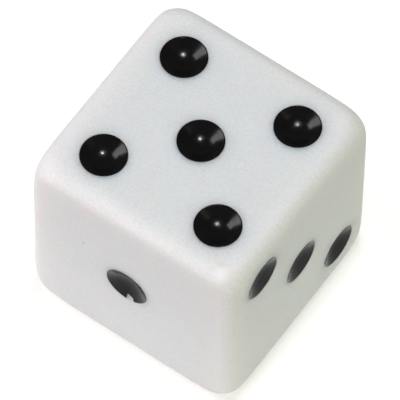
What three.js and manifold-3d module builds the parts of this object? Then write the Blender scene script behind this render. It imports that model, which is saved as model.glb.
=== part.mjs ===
// Giant yard die: a hollow white cube with rounded edges, and black pips let into its six faces.
// Millimetres, +Z up. The origin is under the middle of the two, the face that the die rests on.
// The five is on top, the one faces -Y and the three faces +X. Opposite faces add up to seven.
import * as THREE from 'three';
import { mergeVertices } from 'three/addons/utils/BufferGeometryUtils.js';
import Module from 'manifold-3d';

const wasm = await Module();
wasm.setup();

// Outer form
const side = 88.9; // three and a half inches over two opposite faces
const edgeRadius = 4.3; // rounding at the middle of an edge
const cornerRadius = 7.2; // rounding where three edges meet
const growStart = 18; // distance from an edge's middle at which its rounding starts to grow

// Pips
const pipRadius = 8.78;
const pipPitch = 24.94; // from a face's middle to an outer row of pips
const pipSlope = THREE.MathUtils.degToRad(31); // side of a 118 degree drill point
const pipTipRadius = 10.7; // rounded bottom of the dish
const rimLand = 0.4; // flat ring at the cup's rim
const rimInset = 0.1; // how far the rim lies below the face
const cupWall = 1.2;
const oneDrift = [-1.1, 0.3]; // the single pip sits a little off the middle of its face
const threeDrift = [0, 0.7]; // and so does the row of three

// Moulded shell and the cover that closes it
const wall = 5;
const coreCornerRadius = 6; // upright corners of the hollow
const coreTopRadius = 4; // rounding under the top face
const coreDraft = THREE.MathUtils.degToRad(0.5);
const socketWall = 2.4; // material behind a pip's socket
const ribThickness = 2.2;
const ribDepth = 3; // how far a rib stands in from the wall
const ribCornerRadius = 5;
const coverThickness = 5;
const postRadius = 3.8;
const postInset = 5.6; // from the inside of a wall to the middle of a corner post
const pegRadius = 2;
const pegLength = 6;
const pegRoom = 2; // free depth above a peg's end
const fitGap = 0.3; // clearance all round a piece that sits in another

// Facets
const cornerSteps = 3; // from a face to the middle of its rounding
const edgeSteps = 6; // along the straight stretch of an edge
const roundSteps = 20; // around a pip
const tipSteps = 2; // from a dish's cone to its middle
const smallRoundSteps = 16; // around a boss, a post or a peg
const arcSteps = 3; // around a quarter turn of a rib or of the hollow

const half = side / 2;
const coreHalf = half - wall;
const postPlace = coreHalf - postInset;
const overrun = 1; // how far a cutter runs past the face that it cuts

const white = new THREE.MeshStandardMaterial({ color: 0xdbdcdb, roughness: 0.32, metalness: 0 });
const black = new THREE.MeshStandardMaterial({ color: 0x0d0d0f, roughness: 0.12, metalness: 0 });

// Solids and meshes

function toSolid(geometry) {
  const bare = geometry.index ? geometry.toNonIndexed() : geometry.clone();
  bare.deleteAttribute('normal');
  bare.deleteAttribute('uv');
  const merged = mergeVertices(bare);
  const mesh = new wasm.Mesh({
    numProp: 3,
    vertProperties: new Float32Array(merged.attributes.position.array),
    triVerts: new Uint32Array(merged.index.array),
  });
  return new wasm.Manifold(mesh);
}

function toGeometry(solid) {
  const mesh = solid.getMesh();
  const geometry = new THREE.BufferGeometry();
  geometry.setAttribute('position', new THREE.BufferAttribute(mesh.vertProperties, 3));
  geometry.setIndex(new THREE.BufferAttribute(mesh.triVerts, 1));
  return geometry;
}

function joined(solids) {
  return solids.reduce((sum, solid) => sum.add(solid));
}

// A revolved solid about the z axis, from [radius, z] points that run from its lowest to its highest end
function revolved(outline, steps) {
  const points = outline.map(([radius, z]) => new THREE.Vector2(radius, z));
  const geometry = new THREE.LatheGeometry(points, steps);
  geometry.rotateX(Math.PI / 2);
  return geometry;
}

function rod(radius, bottom, top) {
  const outline = [[0, bottom], [radius, bottom], [radius, top], [0, top]];
  return revolved(outline, smallRoundSteps);
}

function box(low, high) {
  const size = high.map((value, axis) => value - low[axis]);
  const centre = high.map((value, axis) => (value + low[axis]) / 2);
  return new THREE.BoxGeometry(...size).translate(...centre);
}

// Outer form: a cube whose edge rounding grows towards the corners, as tumbling leaves it

function roundingAt(along) {
  const growEnd = half - cornerRadius;
  const share = THREE.MathUtils.smoothstep(along, growStart, growEnd);
  return THREE.MathUtils.lerp(edgeRadius, cornerRadius, share);
}

function roundedCube() {
  const steps = 2 * cornerSteps + edgeSteps;
  const geometry = new THREE.BoxGeometry(side, side, side, steps, steps, steps);
  const places = geometry.attributes.position;
  const flat = half - cornerRadius;
  const point = new THREE.Vector3();
  for (let i = 0; i < places.count; i += 1) {
    point.fromBufferAttribute(places, i);
    const rows = point.toArray().map((value) => Math.round(((value + half) / side) * steps) - steps / 2);
    const alongRow = Math.min(...rows.map(Math.abs));
    const radius = roundingAt((Math.min(alongRow, edgeSteps / 2) / (edgeSteps / 2)) * flat);
    const start = half - radius;
    const spread = rows.map((row) => {
      const beyond = Math.abs(row) - edgeSteps / 2;
      if (beyond < 0) return (row / (edgeSteps / 2)) * flat;
      return Math.sign(row) * (start + radius * Math.tan((beyond / cornerSteps) * (Math.PI / 4)));
    });
    point.fromArray(spread);
    const core = point.clone().clampScalar(-start, start);
    const outward = point.sub(core).setLength(radius);
    places.setXYZ(i, ...core.add(outward).toArray());
  }
  return geometry.translate(0, 0, half);
}

// Pips: a conical cup with a rounded bottom, the socket that takes it and the boss behind that

// The cup's outside, moved outwards by a distance, as [radius, z] corners below the face
function cupOutside(distance) {
  const rimStart = cupWall / Math.cos(pipSlope) - rimLand * Math.tan(pipSlope);
  const radius = pipRadius + distance;
  const rimDepth = rimStart + distance / Math.cos(pipSlope) - distance * Math.tan(pipSlope);
  const floorDepth = dishDepth() + cupWall + distance;
  const floorRadius = radius - (floorDepth - rimDepth) / Math.tan(pipSlope);
  return { radius, rimZ: -rimInset - rimDepth, floorRadius, floorZ: -rimInset - floorDepth };
}

function dishDepth() {
  const coneDepth = (pipRadius - rimLand) * Math.tan(pipSlope);
  return coneDepth - pipTipRadius * (1 / Math.cos(pipSlope) - 1);
}

function pipCup() {
  const { radius, rimZ, floorRadius, floorZ } = cupOutside(0);
  const outline = [[0, floorZ], [floorRadius, floorZ], [radius, rimZ], [radius, -rimInset]];
  outline.push([radius - rimLand, -rimInset]);
  for (let step = tipSteps; step >= 0; step -= 1) {
    const angle = (step / tipSteps) * pipSlope;
    const rise = pipTipRadius * (1 - Math.cos(angle));
    outline.push([pipTipRadius * Math.sin(angle), -rimInset - dishDepth() + rise]);
  }
  return revolved(outline, roundSteps);
}

function pipSocket() {
  const { radius, rimZ, floorRadius, floorZ } = cupOutside(fitGap);
  const outline = [[0, floorZ], [floorRadius, floorZ], [radius, rimZ], [radius, overrun], [0, overrun]];
  return revolved(outline, roundSteps);
}

function socketBoss() {
  const { radius, rimZ, floorRadius, floorZ } = cupOutside(fitGap + socketWall);
  const slope = (radius - floorRadius) / (rimZ - floorZ);
  const rootZ = -wall / 2;
  const rootRadius = floorRadius + slope * (rootZ - floorZ);
  return revolved([[0, floorZ], [floorRadius, floorZ], [rootRadius, rootZ], [0, rootZ]], smallRoundSteps);
}

// Faces: where each one is turned to, and its pips in steps of the pitch

const quarter = Math.PI / 2;
const middle = [[0, 0]];
const rising = [[-1, -1], [1, 1]];
const falling = [[-1, 1], [1, -1]];
const sides = [[-1, 0], [1, 0]];

const faces = [
  { name: 'one', turn: [quarter, 0, 0], spots: middle, drift: oneDrift },
  { name: 'two', turn: [2 * quarter, 0, 0], spots: falling },
  { name: 'three', turn: [0, quarter, 0], spots: [...rising, ...middle], drift: threeDrift },
  { name: 'four', turn: [0, -quarter, 0], spots: [...rising, ...falling] },
  { name: 'five', turn: [0, 0, 0], spots: [...rising, ...falling, ...middle] },
  { name: 'six', turn: [-quarter, 0, 0], spots: [...rising, ...falling, ...sides] },
];

function pipPlaces(face) {
  const [driftU, driftV] = face.drift ?? [0, 0];
  return face.spots.map(([u, v]) => [u * pipPitch + driftU, v * pipPitch + driftV, half]);
}

// One copy of a shape at every pip of the given faces, in the die's frame
function atPips(shape, chosen) {
  const copies = chosen.flatMap((face) => {
    const turn = new THREE.Matrix4().makeRotationFromEuler(new THREE.Euler(...face.turn));
    return pipPlaces(face).map((place) => {
      const copy = shape.clone().translate(...place).applyMatrix4(turn);
      return toSolid(copy.translate(0, 0, half));
    });
  });
  return joined(copies);
}

// Shell and cover

function roundedSquare(reach, radius) {
  const shape = new THREE.Shape();
  const straight = reach - radius;
  shape.moveTo(straight, -reach);
  shape.absarc(straight, -straight, radius, -quarter, 0);
  shape.absarc(straight, straight, radius, 0, quarter);
  shape.absarc(-straight, straight, radius, quarter, 2 * quarter);
  shape.absarc(-straight, -straight, radius, 2 * quarter, 3 * quarter);
  shape.closePath();
  return shape;
}

// The hollow that the mould's core leaves: open below, rounded above, and a little narrower there
function coreHollow() {
  const top = side - wall;
  const geometry = new THREE.ExtrudeGeometry(roundedSquare(coreHalf, coreCornerRadius), {
    depth: top + overrun - coreTopRadius,
    curveSegments: arcSteps,
    bevelThickness: coreTopRadius,
    bevelSize: coreTopRadius,
    bevelOffset: -coreTopRadius,
    bevelSegments: arcSteps,
  });
  geometry.translate(0, 0, -overrun);
  const places = geometry.attributes.position;
  for (let i = 0; i < places.count; i += 1) {
    const z = Math.max(places.getZ(i), 0);
    const narrowing = 1 - (z * Math.tan(coreDraft)) / coreHalf;
    places.setXY(i, places.getX(i) * narrowing, places.getY(i) * narrowing);
  }
  return geometry;
}

// A rib that runs up one wall, across under the top face and down the opposite wall
function hoopRib() {
  const outer = half - wall / 2;
  const inner = coreHalf - ribDepth;
  const top = side - wall / 2;
  const arch = side - wall - ribDepth;
  const shape = new THREE.Shape();
  shape.moveTo(inner, coverThickness);
  shape.lineTo(outer, coverThickness);
  shape.lineTo(outer, top);
  shape.lineTo(-outer, top);
  shape.lineTo(-outer, coverThickness);
  shape.lineTo(-inner, coverThickness);
  shape.absarc(-inner + ribCornerRadius, arch - ribCornerRadius, ribCornerRadius, 2 * quarter, quarter, true);
  shape.absarc(inner - ribCornerRadius, arch - ribCornerRadius, ribCornerRadius, quarter, 0, true);
  shape.closePath();
  const geometry = new THREE.ExtrudeGeometry(shape, {
    depth: ribThickness,
    curveSegments: arcSteps,
    bevelEnabled: false,
  });
  return geometry.translate(0, 0, -ribThickness / 2).rotateX(quarter);
}

function hoopRibs() {
  const ribs = [-pipPitch / 2, pipPitch / 2].flatMap((place) => [
    hoopRib().translate(0, place, 0),
    hoopRib().rotateZ(quarter).translate(place, 0, 0),
  ]);
  return joined(ribs.map(toSolid));
}

const postSpots = [...rising, ...falling].map(([u, v]) => [u * postPlace, v * postPlace]);

// A post in each corner of the hollow, held to both walls by a web
function cornerPosts() {
  const top = side - wall / 2;
  const reach = half - wall / 2;
  const webHalf = ribThickness / 2;
  const low = [postPlace, postPlace - webHalf, coverThickness];
  const webX = box(low, [reach, postPlace + webHalf, top]);
  const webY = box([low[1], low[0], low[2]], [postPlace + webHalf, reach, top]);
  const post = rod(postRadius, coverThickness, top).translate(postPlace, postPlace, 0);
  const corner = [post, webX, webY];
  const turns = [0, 1, 2, 3].flatMap((count) => corner.map((piece) => piece.clone().rotateZ(count * quarter)));
  return joined(turns.map(toSolid));
}

function pegHoles() {
  const top = coverThickness + pegLength + pegRoom;
  const hole = rod(pegRadius + fitGap, coverThickness - overrun, top);
  return joined(postSpots.map(([x, y]) => toSolid(hole.clone().translate(x, y, 0))));
}

function bodyShell(outside) {
  const walled = faces.filter((face) => face.name !== 'two');
  return outside
    .subtract(toSolid(coreHollow()))
    .add(hoopRibs())
    .add(cornerPosts())
    .add(atPips(socketBoss(), walled))
    .subtract(pegHoles())
    .subtract(atPips(pipSocket(), walled));
}

// Room that the cover's bosses leave round the corner posts
function postRoom() {
  const room = rod(postRadius + fitGap, coverThickness, coverThickness + pegLength);
  return joined(postSpots.map(([x, y]) => toSolid(room.clone().translate(x, y, 0))));
}

// The cover fills the open side flush with the rounded form, and its pegs enter the corner posts
function baseCover(outside) {
  const base = faces.filter((face) => face.name === 'two');
  const outline = roundedSquare(coreHalf - fitGap, coreCornerRadius - fitGap);
  const plate = new THREE.ExtrudeGeometry(outline, {
    depth: coverThickness + overrun,
    curveSegments: arcSteps,
    bevelEnabled: false,
  }).translate(0, 0, -overrun);
  const peg = rod(pegRadius, coverThickness / 2, coverThickness + pegLength);
  const pegs = postSpots.map(([x, y]) => toSolid(peg.clone().translate(x, y, 0)));
  return outside
    .intersect(toSolid(plate))
    .add(atPips(socketBoss(), base))
    .subtract(postRoom())
    .add(joined(pegs))
    .subtract(atPips(pipSocket(), base));
}

// Assembly

function named(name, geometry, material) {
  const mesh = new THREE.Mesh(geometry, material.clone());
  mesh.name = name;
  return mesh;
}

const die = new THREE.Group();
const cube = toSolid(roundedCube());
die.add(named('body_shell', toGeometry(bodyShell(cube)), white));
die.add(named('base_cover', toGeometry(baseCover(cube)), white));

for (const face of faces) {
  const group = new THREE.Group();
  group.position.z = half;
  group.rotation.set(...face.turn);
  pipPlaces(face).forEach((place, index) => {
    const cup = named(`pip_${face.name}_${index + 1}`, pipCup(), black);
    cup.position.set(...place);
    group.add(cup);
  });
  die.add(group);
}

export default die;
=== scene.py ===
# Giant yard die: white moulded plastic with soft edges, and glossy black cups for its pips.
# Metres, +Z up. The die rests on the two, with the five on top, the one at -Y and the three at +X.
import math

import bmesh
import bpy
from mathutils import Euler, Matrix, Quaternion, Vector


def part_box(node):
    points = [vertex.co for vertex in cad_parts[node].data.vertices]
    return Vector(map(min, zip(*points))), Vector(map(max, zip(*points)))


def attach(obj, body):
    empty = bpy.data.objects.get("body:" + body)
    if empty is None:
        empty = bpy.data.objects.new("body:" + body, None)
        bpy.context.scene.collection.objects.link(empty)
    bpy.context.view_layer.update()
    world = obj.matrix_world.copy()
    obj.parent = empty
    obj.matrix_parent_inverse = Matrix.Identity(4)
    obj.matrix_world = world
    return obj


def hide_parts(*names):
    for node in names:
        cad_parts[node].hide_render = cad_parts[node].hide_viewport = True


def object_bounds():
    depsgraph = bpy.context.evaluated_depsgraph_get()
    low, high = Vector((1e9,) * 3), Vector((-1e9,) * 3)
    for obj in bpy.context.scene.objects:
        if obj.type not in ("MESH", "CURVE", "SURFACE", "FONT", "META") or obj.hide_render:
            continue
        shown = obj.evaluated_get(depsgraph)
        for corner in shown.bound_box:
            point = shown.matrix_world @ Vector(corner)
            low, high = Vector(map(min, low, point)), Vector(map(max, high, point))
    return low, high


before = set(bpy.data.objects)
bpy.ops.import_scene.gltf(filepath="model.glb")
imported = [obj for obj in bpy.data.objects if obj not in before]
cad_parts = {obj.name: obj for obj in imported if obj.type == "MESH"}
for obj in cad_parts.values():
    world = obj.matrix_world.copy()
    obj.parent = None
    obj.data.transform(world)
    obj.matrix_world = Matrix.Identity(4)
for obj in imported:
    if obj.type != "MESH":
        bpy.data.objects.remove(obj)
cad_low, cad_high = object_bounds()

MM = 0.001

# Outer form
SIDE = (cad_high - cad_low).z
HALF = SIDE / 2
MIDDLE = Vector((0, 0, HALF))
ROUNDING_REACH = 8 * MM  # how far the soft rounding reaches in from an edge
ROUNDING_POWER = 3.3  # its shape: 2 is a round arc, higher is softer and fuller
TRIM_RADIUS = 71.4 * MM  # ball about the middle that takes the corners off
TRIM_SHARPNESS = 50  # of the line where the ball meets an edge

# Pips
PIP_SLOPE = math.radians(31)  # side of a 118 degree drill point
PIP_TIP_RADIUS = 10.7 * MM  # rounded bottom of the dish
RIM_LAND = 0.4 * MM  # flat ring at the cup's rim
RIM_INSET = 0.1 * MM  # how far the rim lies below the face
CUP_WALL = 1.2 * MM
CUP_EDGE = 0.12 * MM  # rounding of the cup's rim
SOCKET_EDGE = 0.2 * MM  # rounding of the white edge round a pip
SOCKET_LIFT = 0.004 * MM  # starts that rounding just above the face, so that it cuts the face cleanly
SOCKET_SHOULDER = 0.3 * MM  # height over which a socket narrows to its mouth
RIM_SEAM = 0.05 * MM  # what shows of the glue line round a cup

# White tooth where the cup of the one is chipped: mm to the right of the pip's middle, and above it
CHIP = [(0.1, -9.6), (-0.15, -6.9), (0.4, -6.75), (1.3, -6.95), (2.45, -7), (3, -7.6), (3.1, -9.2)]
CHIP_GAP = 0.04 * MM
CHIP_ROOT = 0.1 * MM  # how far the tooth reaches into the white around the socket

# Moulded shell and the cover that closes it
WALL = 5 * MM
CORE_CORNER = 6 * MM  # upright corners of the hollow
CORE_TOP = 4 * MM  # rounding under the top face
CORE_DRAFT = math.radians(0.5)
SOCKET_WALL = 2.4 * MM  # material behind a pip's socket
RIB_THICKNESS = 2.2 * MM
RIB_DEPTH = 3 * MM  # how far a rib stands in from the wall
RIB_CORNER = 5 * MM
COVER_THICKNESS = 5 * MM
POST_RADIUS = 3.8 * MM
POST_INSET = 5.6 * MM  # from the inside of a wall to the middle of a corner post
PEG_RADIUS = 2 * MM
PEG_LENGTH = 6 * MM
PEG_TAPER = 0.5 * MM
PEG_ROOM = 2 * MM  # free depth above a peg's end
FIT_GAP = 0.3 * MM  # clearance all round a piece that sits in another
OVERRUN = 1 * MM  # how far a cutter runs past the face that it cuts
CORE_HALF = HALF - WALL
POST_PLACE = CORE_HALF - POST_INSET

# Facets
ROUNDING_STEPS = 14  # from a face to the middle of its rounding
EDGE_STEPS = 24  # along the straight stretch of an edge, closer together towards its ends
ROUND_STEPS = 96  # around a pip
TIP_STEPS = 16  # from a dish's cone to its middle
SMALL_ARC_STEPS = 5  # across a small rounding
SMALL_ROUND_STEPS = 32  # around a boss, a post or a peg
SHARP_ANGLE = math.radians(40)
WELD_DISTANCE = 0.001 * MM  # points closer than this become one

# Camera, at the photograph's viewing angle
CAMERA_AZIMUTH = math.radians(34.07)
CAMERA_ELEVATION = math.radians(60.64)
CAMERA_ROLL = math.radians(1.18)
CAMERA_DISTANCE = 2591.6 * MM
CAMERA_AIM = MIDDLE + Vector((-0.14, 0.44, 0.25)) * MM
CAMERA_LENS = 641.8  # mm, as is the sensor's width
CAMERA_SENSOR = 36
CAMERA_NEAR = 10 * MM
CAMERA_FAR = 100000 * MM

# Light. Each lamp: its name, whether gloss shows it, azimuth, elevation and roll in degrees, then
# distance, width and height in metres, radiance and colour
ROOM_COLOUR = (0.110, 0.100, 0.085)
LAMPS = [
    ("window", True, -70.6, 40, 47, 1.4, 0.62, 0.62, 5.6, (1, 0.95, 0.961)),
    ("ceiling_lamp", True, 167, 86.3, 0, 1.5, 0.19, 0.19, 82.4, (0.908, 0.894, 1)),
    ("camera_softbox", True, 30, 30, 0, 1.6, 1.2, 1.0, 0.82, (0.744, 0.72, 1)),
    ("right_softbox", True, 85, 30, 0, 1.6, 1.2, 1.0, 1.95, (0.964, 1, 0.662)),
    ("front_softbox", True, -25, 16, 0, 1.5, 1.0, 0.6, 3.82, (1, 0.908, 0.885)),
    ("back_softbox", False, 190, 22, 0, 1.6, 1.2, 0.7, 0.87, (0.874, 1, 0.69)),
]

# Floor. To the eye it is white paper all over. The light that it sends back to the die fades from
# that of a white sheet to that of a darker ground, between two distances from the middle
FLOOR_RADIUS = 1500 * MM
FLOOR_SEGMENTS = 96
FLOOR_DROP = 0.05 * MM  # keeps the floor from lying in the die's own underside
PAPER_COLOUR = (0.9, 0.9, 0.9)
PAPER_LIFT = 0.36  # glow that brings the paper up to full white
SHEET_START = 120 * MM
SHEET_END = 280 * MM
SHEET_WHITE = 0.88
GROUND_GREY = 0.4

# Surfaces: scales per metre, heights in mm
WHITE_SKIN = {"Ripple Scale": 60, "Ripple Height": 0.03, "Grain Scale": 1500, "Grain Height": 0.004}
WHITE_POLISH = {"Scale": 120, "Low": 0.52, "High": 0.6}
BLACK_SKIN = {"Ripple Scale": 380, "Ripple Height": 0.036, "Grain Scale": 1500, "Grain Height": 0.001}
BLACK_POLISH = {"Scale": 400, "Low": 0.14, "High": 0.24}
NOISE_SPREAD = (0.3, 0.7)  # values of a noise between which its effect goes from none to full
WHITE_CLOUDS = 90
WHITE_LOW = (0.82, 0.82, 0.81)
WHITE_HIGH = (0.84, 0.84, 0.83)
WHITE_GRAIN = 1600
WHITE_GRAIN_SPREAD = (0.4, 0.75)
WHITE_GRAIN_COLOUR = (0.74, 0.74, 0.73)
PLASTIC_IOR = 1.5
SCATTER_WEIGHT = 0.8  # how much of its light the white plastic scatters inside
SCATTER_SHARES = (1.0, 0.72, 0.6)  # of the reach, in red, green and blue
SCATTER_REACH = 17 * MM
BLACK_COLOUR = (0.0048, 0.0048, 0.0056)
BLACK_SPECULAR = 0.25

# Marks on the white plastic, and a painted highlight. Each speck: its shade, place and radius in mm
SPECK_COLOURS = {"dark": (0.56, 0.52, 0.48), "faint": (0.77, 0.74, 0.71)}
SPECKS = [
    ("dark", (-20, -44.4, 58), 0.45),
    ("faint", (35, -37.3, 88.9), 1.3),
    ("dark", (44.1, 34.9, 88), 0.4),
]
SPECK_SOFTNESS = 0.5  # share of its radius over which a speck fades, both inwards and outwards
# Painted highlight: a lighter patch on the rounding at the near corner of the top face, where a lamp's
# highlight falls
PAINTED_HIGHLIGHT_COLOUR = (0.93, 0.93, 0.93)
PAINTED_HIGHLIGHT_PLACE = (37.5, -41, 88)  # mm, at the near corner of the top face
PAINTED_HIGHLIGHT_CORE = 0.5 * MM  # the painted highlight is full within this radius, and fades from there outwards
PAINTED_HIGHLIGHT_RADIUS = 4 * MM

# Turns in degrees that carry the top face to each face
FACE_TURNS = {
    "one": (90, 0, 0),
    "two": (180, 0, 0),
    "three": (0, 90, 0),
    "four": (0, -90, 0),
    "five": (0, 0, 0),
    "six": (-90, 0, 0),
}
WALLED_FACES = [face for face in FACE_TURNS if face != "two"]


# Meshes and objects


def add_object(name, bm):
    """An object at the origin from a bmesh."""
    mesh = bpy.data.meshes.new(name)
    bm.to_mesh(mesh)
    bm.free()
    piece = bpy.data.objects.new(name, mesh)
    bpy.context.scene.collection.objects.link(piece)
    return piece


def combine(piece, tool, operation):
    """Joins, cuts or intersects the piece with a tool, and removes the tool."""
    modifier = piece.modifiers.new(operation.lower(), "BOOLEAN")
    modifier.operation = operation
    modifier.solver = "EXACT"
    modifier.object = tool
    evaluated = piece.evaluated_get(bpy.context.evaluated_depsgraph_get())
    mesh = bpy.data.meshes.new_from_object(evaluated)
    piece.modifiers.clear()
    piece.data = mesh
    bpy.data.objects.remove(tool)


def finish_surface(piece):
    """Smooth but for its sharp edges, with flat faces shaded flat right up to their rounded edges."""
    bm = bmesh.new()
    bm.from_mesh(piece.data)
    for face in bm.faces:
        face.smooth = True
    for edge in bm.edges:
        edge.smooth = edge.calc_face_angle(math.pi) < SHARP_ANGLE
    bm.to_mesh(piece.data)
    bm.free()
    weighted = piece.modifiers.new("weighted_normals", "WEIGHTED_NORMAL")
    weighted.keep_sharp = True


def copies(name, bm, places):
    """One object that holds a copy of the bmesh at each place."""
    mesh = bpy.data.meshes.new(name)
    bm.to_mesh(mesh)
    bm.free()
    whole = bmesh.new()
    for place in places:
        before = len(whole.verts)
        whole.from_mesh(mesh)
        whole.verts.ensure_lookup_table()
        bmesh.ops.transform(whole, matrix=place, verts=whole.verts[before:])
    bpy.data.meshes.remove(mesh)
    return add_object(name, whole)


def box(low, high):
    """A box between two opposite corners."""
    bm = bmesh.new()
    bmesh.ops.create_cube(bm, size=1)
    bmesh.ops.scale(bm, vec=Vector(high) - Vector(low), verts=bm.verts)
    bmesh.ops.translate(bm, vec=(Vector(high) + Vector(low)) / 2, verts=bm.verts)
    return bm


def upright_edges(bm):
    """The edges of a box that aren't level."""
    return [edge for edge in bm.edges if abs(edge.verts[0].co.z - edge.verts[1].co.z) > MM]


def round_off(bm, edges, radius):
    """Rounds edges to quarter circles."""
    bmesh.ops.bevel(
        bm,
        geom=edges,
        offset=radius,
        segments=SMALL_ARC_STEPS,
        profile=0.5,
        affect="EDGES",
        material=-1,
    )


def prism(outline, low, high):
    """An outline of (x, z) points, made solid from y = low to y = high."""
    bm = bmesh.new()
    end = bm.faces.new([bm.verts.new((x, low, z)) for x, z in outline])
    extruded = bmesh.ops.extrude_face_region(bm, geom=[end], use_keep_orig=True)["geom"]
    far_end = [item for item in extruded if isinstance(item, bmesh.types.BMVert)]
    bmesh.ops.translate(bm, vec=(0, high - low, 0), verts=far_end)
    bmesh.ops.recalc_face_normals(bm, faces=bm.faces)
    return bm


def arc(centre, radius, start, end, steps):
    """Points on an arc in the plane of an outline, angles in degrees."""
    angles = [math.radians(start + (end - start) * step / steps) for step in range(steps + 1)]
    return [(centre[0] + radius * math.cos(a), centre[1] + radius * math.sin(a)) for a in angles]


def revolved(outline, steps):
    """A closed bmesh from an outline of (radius, z) points that starts and ends on the z axis."""
    bm = bmesh.new()
    verts = [bm.verts.new((radius, 0, z)) for radius, z in outline]
    edges = [bm.edges.new(pair) for pair in zip(verts, verts[1:])]
    bmesh.ops.spin(
        bm,
        geom=verts + edges,
        cent=(0, 0, 0),
        axis=(0, 0, 1),
        angle=math.tau,
        steps=steps,
        use_merge=True,
    )
    bmesh.ops.remove_doubles(bm, verts=bm.verts, dist=WELD_DISTANCE)
    bmesh.ops.recalc_face_normals(bm, faces=bm.faces)
    return bm


def rod(radius, bottom, top, taper):
    """An upright rod with a tapered top end."""
    outline = [(0, bottom), (radius, bottom), (radius, top - taper), (radius - taper, top), (0, top)]
    return revolved(outline, SMALL_ROUND_STEPS)


# Outer form


def rounded_point(grid_point):
    """Moves a point of the gridded cube, given in steps from its middle, onto the soft rounded form."""
    flat = HALF - ROUNDING_REACH
    flat_steps = EDGE_STEPS / 2
    spread = []
    for row in grid_point:
        beyond = abs(row) - flat_steps
        if beyond < 0:
            spread.append(flat * math.sin(row / flat_steps * math.pi / 2))
        else:
            angle = beyond / ROUNDING_STEPS * math.pi / 4
            spread.append(math.copysign(flat + ROUNDING_REACH * math.tan(angle), row))
    core = [min(max(value, -flat), flat) for value in spread]
    outward = [value - inner for value, inner in zip(spread, core)]
    length = sum(abs(value) ** ROUNDING_POWER for value in outward) ** (1 / ROUNDING_POWER)
    point = Vector(inner + value / length * ROUNDING_REACH for inner, value in zip(core, outward))
    beyond_ball = (point.length / TRIM_RADIUS) ** TRIM_SHARPNESS
    return point / (1 + beyond_ball) ** (1 / TRIM_SHARPNESS) + MIDDLE


def rounded_cube():
    """The die's outside as a closed bmesh."""
    steps = 2 * ROUNDING_STEPS + EDGE_STEPS
    bm = bmesh.new()
    bmesh.ops.create_cube(bm, size=steps)
    bmesh.ops.subdivide_edges(bm, edges=bm.edges, cuts=steps - 1, use_grid_fill=True)
    for vert in bm.verts:
        vert.co = rounded_point([round(value) for value in vert.co])
    bmesh.ops.recalc_face_normals(bm, faces=bm.faces)
    return bm


# Pips


def pip_nodes(faces):
    """The CAD names of the cups of some faces."""
    pips = [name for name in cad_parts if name.startswith("pip_")]
    return sorted(name for name in pips if name.split("_")[1] in faces)


def pip_place(node):
    """Where a cup lies: its own z axis points out of the face, and its zero is on the face."""
    low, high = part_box(node)
    turn = Euler([math.radians(angle) for angle in FACE_TURNS[node.split("_")[1]]]).to_matrix()
    local = turn.transposed() @ ((low + high) / 2 - MIDDLE)
    local.z = HALF
    return Matrix.Translation(MIDDLE) @ turn.to_4x4() @ Matrix.Translation(local)


def at_pips(name, bm, faces):
    """One object with a copy of the bmesh at every pip of some faces."""
    return copies(name, bm, [pip_place(node) for node in pip_nodes(faces)])


def pip_radius():
    """The radius of the cups, from one that lies level."""
    low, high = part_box("pip_five_1")
    return (high - low).x / 2


PIP_RADIUS = pip_radius()
PIP_PITCH = abs(pip_place("pip_five_1").translation.x)
CONE_DEPTH = (PIP_RADIUS - RIM_LAND) * math.tan(PIP_SLOPE)
DISH_DEPTH = CONE_DEPTH - PIP_TIP_RADIUS * (1 / math.cos(PIP_SLOPE) - 1)


def cup_outside(distance):
    """The cup's outside, moved outwards by a distance: radius, rim depth, floor radius, floor depth."""
    rim_start = CUP_WALL / math.cos(PIP_SLOPE) - RIM_LAND * math.tan(PIP_SLOPE)
    radius = PIP_RADIUS + distance
    rim_depth = RIM_INSET + rim_start + distance * (1 / math.cos(PIP_SLOPE) - math.tan(PIP_SLOPE))
    floor_depth = RIM_INSET + DISH_DEPTH + CUP_WALL + distance
    floor_radius = radius - (floor_depth - rim_depth) / math.tan(PIP_SLOPE)
    return radius, rim_depth, floor_radius, floor_depth


def dish_outline():
    """The cup's inside from the rim's land to the middle of the dish."""
    slope = math.degrees(PIP_SLOPE)
    land_end = PIP_RADIUS - RIM_LAND
    edge_reach = CUP_EDGE * math.tan(PIP_SLOPE / 2)
    rim = arc((land_end + edge_reach, -RIM_INSET - CUP_EDGE), CUP_EDGE, 90, 90 + slope, SMALL_ARC_STEPS)
    tip_centre = -RIM_INSET - DISH_DEPTH + PIP_TIP_RADIUS
    tip = arc((0, tip_centre), PIP_TIP_RADIUS, slope - 90, -90, TIP_STEPS)
    tip[-1] = (0, tip[-1][1])
    return rim + tip


def cup_shape(distance):
    """A cup with a rounded rim, its outside moved outwards by a distance."""
    radius, rim_depth, floor_radius, floor_depth = cup_outside(distance)
    outline = [(0, -floor_depth), (floor_radius, -floor_depth), (radius, -rim_depth)]
    outline += arc((radius - CUP_EDGE, -RIM_INSET - CUP_EDGE), CUP_EDGE, 0, 90, SMALL_ARC_STEPS)
    outline += dish_outline()
    return revolved(outline, ROUND_STEPS)


def socket_shape():
    """What is cut from the white plastic for a cup, with a rounded white edge at the face."""
    radius, rim_depth, floor_radius, floor_depth = cup_outside(FIT_GAP)
    mouth = PIP_RADIUS + RIM_SEAM
    edge_centre = (mouth + SOCKET_EDGE, SOCKET_LIFT - SOCKET_EDGE)
    outline = [(0, -floor_depth), (floor_radius, -floor_depth), (radius, -rim_depth)]
    outline += [(radius, -rim_depth + SOCKET_SHOULDER), (mouth, -rim_depth + 2 * SOCKET_SHOULDER)]
    outline += arc(edge_centre, SOCKET_EDGE, 180, 90, SMALL_ARC_STEPS)
    outline += [(mouth + SOCKET_EDGE, OVERRUN), (0, OVERRUN)]
    return revolved(outline, ROUND_STEPS)


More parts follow.
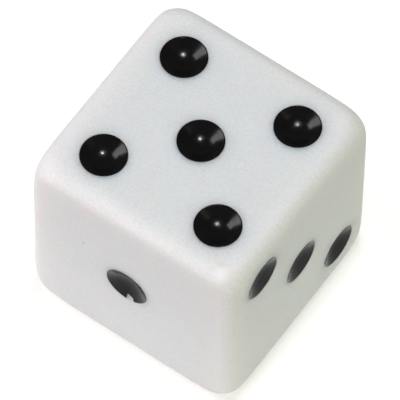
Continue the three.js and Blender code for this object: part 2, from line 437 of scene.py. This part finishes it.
def boss_shape():
    """The solid behind a socket, rooted in the wall."""
    radius, rim_depth, floor_radius, floor_depth = cup_outside(FIT_GAP + SOCKET_WALL)
    root = WALL / 2
    widening = (radius - floor_radius) * (floor_depth - root) / (floor_depth - rim_depth)
    root_radius = floor_radius + widening
    outline = [(0, -floor_depth), (floor_radius, -floor_depth), (root_radius, -root), (0, -root)]
    return revolved(outline, SMALL_ROUND_STEPS)


def chip_tool(grow):
    """A prism through the wall of the one's cup at its chip, moved outwards all round by a distance."""
    centre = sum((Vector(point) for point in CHIP), Vector((0, 0))) / len(CHIP)
    outline = []
    for point in CHIP:
        outward = (Vector(point) - centre).normalized()
        outline.append(Vector(point) * MM + outward * grow)
    bm = prism(outline, -OVERRUN, DISH_DEPTH)
    bmesh.ops.rotate(bm, cent=(0, 0, 0), matrix=Matrix.Rotation(-math.pi / 2, 3, "X"), verts=bm.verts)
    return bm


def make_cup(node):
    """One black cup; the one's is chipped."""
    cup = copies(node.replace("pip", "cup"), cup_shape(0), [pip_place(node)])
    if node == "pip_one_1":
        combine(cup, at_pips("chip", chip_tool(CHIP_GAP), ["one"]), "DIFFERENCE")
    finish_surface(cup)
    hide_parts(node)
    return cup


def chip_tooth():
    """The white tooth in the chip: a slice of the cup's ring that reaches out into the shell."""
    tooth = at_pips("tooth", cup_shape(FIT_GAP + CHIP_ROOT), ["one"])
    combine(tooth, at_pips("chip", chip_tool(0), ["one"]), "INTERSECT")
    return tooth


# Shell and cover


def at_corners(name, bm):
    """One object with a copy of the bmesh at every corner post."""
    corners = [(x * POST_PLACE, y * POST_PLACE, 0) for x in (-1, 1) for y in (-1, 1)]
    return copies(name, bm, [Matrix.Translation(corner) for corner in corners])


def core_shape():
    """The hollow that the mould's core leaves: rounded above, and a little narrower there."""
    top = SIDE - WALL
    bm = box((-CORE_HALF, -CORE_HALF, -OVERRUN), (CORE_HALF, CORE_HALF, top))
    round_off(bm, upright_edges(bm), CORE_CORNER)
    top_edges = [edge for edge in bm.edges if min(vert.co.z for vert in edge.verts) > top - MM]
    round_off(bm, top_edges, CORE_TOP)
    for vert in bm.verts:
        narrowing = 1 - max(vert.co.z, 0) * math.tan(CORE_DRAFT) / CORE_HALF
        vert.co.x *= narrowing
        vert.co.y *= narrowing
    return bm


def hoop_rib():
    """A rib that runs up one wall, across under the top face and down the opposite wall."""
    outer = HALF - WALL / 2
    inner = CORE_HALF - RIB_DEPTH
    top = SIDE - WALL / 2
    arch = SIDE - WALL - RIB_DEPTH
    outline = [(inner, COVER_THICKNESS), (outer, COVER_THICKNESS), (outer, top)]
    outline += [(-outer, top), (-outer, COVER_THICKNESS), (-inner, COVER_THICKNESS)]
    outline += arc((RIB_CORNER - inner, arch - RIB_CORNER), RIB_CORNER, 180, 90, SMALL_ARC_STEPS)
    outline += arc((inner - RIB_CORNER, arch - RIB_CORNER), RIB_CORNER, 90, 0, SMALL_ARC_STEPS)
    return prism(outline, -RIB_THICKNESS / 2, RIB_THICKNESS / 2)


def corner_web(side):
    """A web that holds a corner post to the wall at +X."""
    low = (POST_PLACE, side * POST_PLACE - RIB_THICKNESS / 2, COVER_THICKNESS)
    return box(low, (HALF - WALL / 2, side * POST_PLACE + RIB_THICKNESS / 2, SIDE - WALL / 2))


def make_shell():
    """The five walls with their ribs, posts and bosses, and the sockets of nineteen pips."""
    shell = add_object("die_shell", rounded_cube())
    combine(shell, add_object("core", core_shape()), "DIFFERENCE")
    turns = [Matrix.Rotation(count * math.pi / 2, 4, "Z") for count in range(4)]
    beside = [Matrix.Translation((0, place, 0)) for place in (-PIP_PITCH / 2, PIP_PITCH / 2)]
    combine(shell, copies("ribs_beside", hoop_rib(), beside), "UNION")
    combine(shell, copies("ribs_across", hoop_rib(), [turns[1] @ place for place in beside]), "UNION")
    for side in (-1, 1):
        combine(shell, copies("webs", corner_web(side), turns), "UNION")
    post = rod(POST_RADIUS, COVER_THICKNESS, SIDE - WALL / 2, PEG_TAPER)
    combine(shell, at_corners("posts", post), "UNION")
    combine(shell, at_pips("bosses", boss_shape(), WALLED_FACES), "UNION")
    hole_top = COVER_THICKNESS + PEG_LENGTH + PEG_ROOM
    hole = rod(PEG_RADIUS + FIT_GAP, COVER_THICKNESS - OVERRUN, hole_top, PEG_TAPER)
    combine(shell, at_corners("peg_holes", hole), "DIFFERENCE")
    combine(shell, at_pips("sockets", socket_shape(), WALLED_FACES), "DIFFERENCE")
    combine(shell, chip_tooth(), "UNION")
    finish_surface(shell)
    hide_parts("body_shell")
    return shell


def make_cover():
    """The plate that closes the shell from below, with its pegs and the sockets of the two."""
    cover = add_object("cover_plate", rounded_cube())
    reach = CORE_HALF - FIT_GAP
    plate = box((-reach, -reach, -OVERRUN), (reach, reach, COVER_THICKNESS))
    round_off(plate, upright_edges(plate), CORE_CORNER - FIT_GAP)
    combine(cover, add_object("plate", plate), "INTERSECT")
    combine(cover, at_pips("bosses", boss_shape(), ["two"]), "UNION")
    peg_top = COVER_THICKNESS + PEG_LENGTH
    room = rod(POST_RADIUS + FIT_GAP, COVER_THICKNESS, peg_top, PEG_TAPER)
    combine(cover, at_corners("post_room", room), "DIFFERENCE")
    peg = rod(PEG_RADIUS, COVER_THICKNESS / 2, peg_top, PEG_TAPER)
    combine(cover, at_corners("pegs", peg), "UNION")
    combine(cover, at_pips("sockets", socket_shape(), ["two"]), "DIFFERENCE")
    finish_surface(cover)
    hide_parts("base_cover")
    return cover


# Materials

# The colour sockets of a Mix node, which has others with the same names
MIX_UNDER = 6
MIX_OVER = 7
MIX_RESULT = 2


def new_material(name):
    """A material and its surface shader."""
    material = bpy.data.materials.new(name)
    material.use_nodes = True
    return material, material.node_tree.nodes["Principled BSDF"]


def new_group(name, inputs, output):
    """A node group of plain numbers, with its input and output nodes."""
    group = bpy.data.node_groups.new(name, "ShaderNodeTree")
    for label in inputs:
        group.interface.new_socket(label, in_out="INPUT", socket_type="NodeSocketFloat")
    group.interface.new_socket(output, in_out="OUTPUT", socket_type="NodeSocketFloat")
    return group, group.nodes.new("NodeGroupInput"), group.nodes.new("NodeGroupOutput")


def add_noise(tree, scale, detail):
    """A noise texture that stays fixed to the die; the scale is a number or a socket, per metre."""
    place = tree.nodes.new("ShaderNodeTexCoord")
    noise = tree.nodes.new("ShaderNodeTexNoise")
    noise.inputs["Detail"].default_value = detail
    tree.links.new(place.outputs["Object"], noise.inputs["Vector"])
    if isinstance(scale, (int, float)):
        noise.inputs["Scale"].default_value = scale
    else:
        tree.links.new(scale, noise.inputs["Scale"])
    return noise.outputs[0]


def add_range(tree, value, start, end):
    """The value's range from start to end, turned into 0 to 1."""
    ranged = tree.nodes.new("ShaderNodeMapRange")
    ranged.inputs["From Min"].default_value = start
    ranged.inputs["From Max"].default_value = end
    tree.links.new(value, ranged.inputs["Value"])
    return ranged


def make_moulded_skin():
    """Height in mm of a moulded surface: shallow ripples with a fine grain on them."""
    parts = ("Ripple", "Grain")
    labels = [f"{part} {size}" for part in parts for size in ("Scale", "Height")]
    group, given, result = new_group("moulded_skin", labels, "Height")
    whole = group.nodes.new("ShaderNodeMath")
    for slot, part in enumerate(parts):
        height = group.nodes.new("ShaderNodeMath")
        height.operation = "MULTIPLY"
        group.links.new(add_noise(group, given.outputs[f"{part} Scale"], 2), height.inputs[0])
        group.links.new(given.outputs[f"{part} Height"], height.inputs[1])
        group.links.new(height.outputs[0], whole.inputs[slot])
    group.links.new(whole.outputs[0], result.inputs["Height"])
    return group


def make_uneven_polish():
    """Roughness that wanders between two values."""
    group, given, result = new_group("uneven_polish", ("Scale", "Low", "High"), "Roughness")
    ranged = add_range(group, add_noise(group, given.outputs["Scale"], 3), *NOISE_SPREAD)
    group.links.new(given.outputs["Low"], ranged.inputs["To Min"])
    group.links.new(given.outputs["High"], ranged.inputs["To Max"])
    group.links.new(ranged.outputs["Result"], result.inputs["Roughness"])
    return group


def add_group(tree, group, values):
    """Places a node group, with its values by label."""
    node = tree.nodes.new("ShaderNodeGroup")
    node.node_tree = group
    for label, value in values.items():
        node.inputs[label].default_value = value
    return node.outputs[0]


def add_surface_detail(material, surface, skin, polish):
    """Bump and roughness from the shared groups."""
    tree = material.node_tree
    bump = tree.nodes.new("ShaderNodeBump")
    bump.inputs["Strength"].default_value = 1.0
    bump.inputs["Distance"].default_value = MM
    tree.links.new(add_group(tree, moulded_skin, skin), bump.inputs["Height"])
    tree.links.new(bump.outputs["Normal"], surface.inputs["Normal"])
    tree.links.new(add_group(tree, uneven_polish, polish), surface.inputs["Roughness"])


def add_spot(tree, place, inner, outer):
    """1 within the inner distance of a place, 0 beyond the outer one."""
    here = tree.nodes.new("ShaderNodeTexCoord")
    away = tree.nodes.new("ShaderNodeVectorMath")
    away.operation = "DISTANCE"
    away.inputs[1].default_value = place
    tree.links.new(here.outputs["Object"], away.inputs[0])
    return add_range(tree, away.outputs["Value"], outer, inner).outputs["Result"]


def add_tint(tree, share, under, over):
    """Lays one colour over another; the lower one is a colour or a socket."""
    mix = tree.nodes.new("ShaderNodeMix")
    mix.data_type = "RGBA"
    if isinstance(under, tuple):
        mix.inputs[MIX_UNDER].default_value = (*under, 1)
    else:
        tree.links.new(under, mix.inputs[MIX_UNDER])
    mix.inputs[MIX_OVER].default_value = (*over, 1)
    tree.links.new(share, mix.inputs["Factor"])
    return mix.outputs[MIX_RESULT]


def make_white_plastic():
    """Satin white plastic that light soaks into, with faint clouds, a fine grain, a few marks and a
    painted highlight.
    """
    material, surface = new_material("white_plastic")
    tree = material.node_tree
    clouds = add_range(tree, add_noise(tree, WHITE_CLOUDS, 2), *NOISE_SPREAD).outputs["Result"]
    colour = add_tint(tree, clouds, WHITE_LOW, WHITE_HIGH)
    grain = add_range(tree, add_noise(tree, WHITE_GRAIN, 1), *WHITE_GRAIN_SPREAD).outputs["Result"]
    colour = add_tint(tree, grain, colour, WHITE_GRAIN_COLOUR)
    for shade, place, radius in SPECKS:
        inner = radius * MM * (1 - SPECK_SOFTNESS)
        outer = radius * MM * (1 + SPECK_SOFTNESS)
        spot = add_spot(tree, Vector(place) * MM, inner, outer)
        colour = add_tint(tree, spot, colour, SPECK_COLOURS[shade])
    # Painted highlight at the near corner of the top face
    painted_highlight = add_spot(tree, Vector(PAINTED_HIGHLIGHT_PLACE) * MM, PAINTED_HIGHLIGHT_CORE, PAINTED_HIGHLIGHT_RADIUS)
    colour = add_tint(tree, painted_highlight, colour, PAINTED_HIGHLIGHT_COLOUR)
    tree.links.new(colour, surface.inputs["Base Color"])
    surface.inputs["IOR"].default_value = PLASTIC_IOR
    surface.inputs["Subsurface Weight"].default_value = SCATTER_WEIGHT
    surface.inputs["Subsurface Radius"].default_value = SCATTER_SHARES
    surface.inputs["Subsurface Scale"].default_value = SCATTER_REACH
    add_surface_detail(material, surface, WHITE_SKIN, WHITE_POLISH)
    return material


def make_black_plastic():
    """Glossy black plastic."""
    material, surface = new_material("black_plastic")
    surface.inputs["Base Color"].default_value = (*BLACK_COLOUR, 1)
    surface.inputs["IOR"].default_value = PLASTIC_IOR
    surface.inputs["Specular IOR Level"].default_value = BLACK_SPECULAR
    add_surface_detail(material, surface, BLACK_SKIN, BLACK_POLISH)
    return material


# Stage


def add_larger(tree, first, second):
    """The larger of two sockets' numbers."""
    larger = tree.nodes.new("ShaderNodeMath")
    larger.operation = "MAXIMUM"
    tree.links.new(first, larger.inputs[0])
    tree.links.new(second, larger.inputs[1])
    return larger.outputs[0]


def add_shown_paper(tree):
    """White paper as the eye sees it, with the glow that keeps it white and leaves the shadow on it."""
    paper = tree.nodes.new("ShaderNodeBsdfDiffuse")
    paper.inputs["Color"].default_value = (*PAPER_COLOUR, 1)
    glow = tree.nodes.new("ShaderNodeEmission")
    glow.inputs["Strength"].default_value = PAPER_LIFT
    both = tree.nodes.new("ShaderNodeAddShader")
    tree.links.new(paper.outputs[0], both.inputs[0])
    tree.links.new(glow.outputs[0], both.inputs[1])
    return both.outputs[0]


def add_sheet_on_ground(tree):
    """The floor as the die's light meets it: a white sheet that gives way to a darker ground."""
    here = tree.nodes.new("ShaderNodeTexCoord")
    away = tree.nodes.new("ShaderNodeVectorMath")
    away.operation = "LENGTH"
    tree.links.new(here.outputs["Object"], away.inputs[0])
    shade = add_range(tree, away.outputs["Value"], SHEET_START, SHEET_END)
    shade.interpolation_type = "SMOOTHSTEP"
    shade.inputs["To Min"].default_value = SHEET_WHITE
    shade.inputs["To Max"].default_value = GROUND_GREY
    ground = tree.nodes.new("ShaderNodeBsdfDiffuse")
    tree.links.new(shade.outputs["Result"], ground.inputs["Color"])
    return ground.outputs[0]


def make_floor_material():
    """White paper to the camera and in gloss, and the sheet on its ground for all other light."""
    material, surface = new_material("white_floor")
    tree = material.node_tree
    tree.nodes.remove(surface)
    ray = tree.nodes.new("ShaderNodeLightPath")
    seen = add_larger(tree, ray.outputs["Is Camera Ray"], ray.outputs["Is Glossy Ray"])
    seen = add_larger(tree, seen, ray.outputs["Is Transmission Ray"])
    mix = tree.nodes.new("ShaderNodeMixShader")
    tree.links.new(seen, mix.inputs[0])
    tree.links.new(add_sheet_on_ground(tree), mix.inputs[1])
    tree.links.new(add_shown_paper(tree), mix.inputs[2])
    tree.links.new(mix.outputs[0], tree.nodes["Material Output"].inputs["Surface"])
    return material


def make_floor():
    """A wide round floor."""
    bm = bmesh.new()
    bmesh.ops.create_circle(bm, cap_ends=True, segments=FLOOR_SEGMENTS, radius=FLOOR_RADIUS)
    bmesh.ops.translate(bm, vec=(0, 0, -FLOOR_DROP), verts=bm.verts)
    floor = add_object("floor", bm)
    floor.data.materials.append(make_floor_material())


def direction(azimuth, elevation):
    """A unit vector from the die, azimuth 0 towards -Y and 90 degrees towards +X."""
    level = math.cos(elevation)
    return Vector((math.sin(azimuth) * level, -math.cos(azimuth) * level, math.sin(elevation)))


def add_lamp(name, in_gloss, azimuth, elevation, roll, distance, width, height, radiance, colour):
    """A rectangular soft lamp that faces the die."""
    lamp = bpy.data.lights.new(name, "AREA")
    lamp.shape = "RECTANGLE"
    lamp.size = width
    lamp.size_y = height
    lamp.energy = radiance * math.pi * width * height
    lamp.color = colour
    towards = direction(math.radians(azimuth), math.radians(elevation))
    holder = bpy.data.objects.new(name, lamp)
    holder.location = MIDDLE + towards * distance
    holder.rotation_mode = "QUATERNION"
    facing = (-towards).to_track_quat("-Z", "Y")
    holder.rotation_quaternion = facing @ Quaternion((0, 0, 1), math.radians(roll))
    holder.visible_camera = False
    holder.visible_glossy = in_gloss
    bpy.context.scene.collection.objects.link(holder)


def light_scene():
    """A dim room with soft lamps in it."""
    world = bpy.data.worlds.new("room")
    world.use_nodes = True
    background = world.node_tree.nodes["Background"]
    background.inputs["Color"].default_value = (*ROOM_COLOUR, 1)
    background.inputs["Strength"].default_value = 1.0
    bpy.context.scene.world = world
    for lamp in LAMPS:
        add_lamp(*lamp)


def add_camera():
    """A long lens, far from the die."""
    back = direction(CAMERA_AZIMUTH, CAMERA_ELEVATION)
    data = bpy.data.cameras.new("camera")
    data.lens = CAMERA_LENS
    data.sensor_width = CAMERA_SENSOR
    data.clip_start = CAMERA_NEAR
    data.clip_end = CAMERA_FAR
    camera = bpy.data.objects.new("camera", data)
    camera.location = CAMERA_AIM + back * CAMERA_DISTANCE
    camera.rotation_mode = "QUATERNION"
    camera.rotation_quaternion = (-back).to_track_quat("-Z", "Y") @ Quaternion((0, 0, 1), CAMERA_ROLL)
    bpy.context.scene.collection.objects.link(camera)
    bpy.context.scene.camera = camera


# Assembly


def place_piece(piece, material):
    """Gives a piece its material and the body that it rides on."""
    piece.data.materials.clear()
    piece.data.materials.append(material)
    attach(piece, "root")


add_camera()
moulded_skin = make_moulded_skin()
uneven_polish = make_uneven_polish()
white_plastic = make_white_plastic()
black_plastic = make_black_plastic()
place_piece(make_shell(), white_plastic)
place_piece(make_cover(), white_plastic)
for node in pip_nodes(FACE_TURNS):
    place_piece(make_cup(node), black_plastic)
make_floor()
light_scene()
bpy.context.scene.view_settings.view_transform = "Standard"
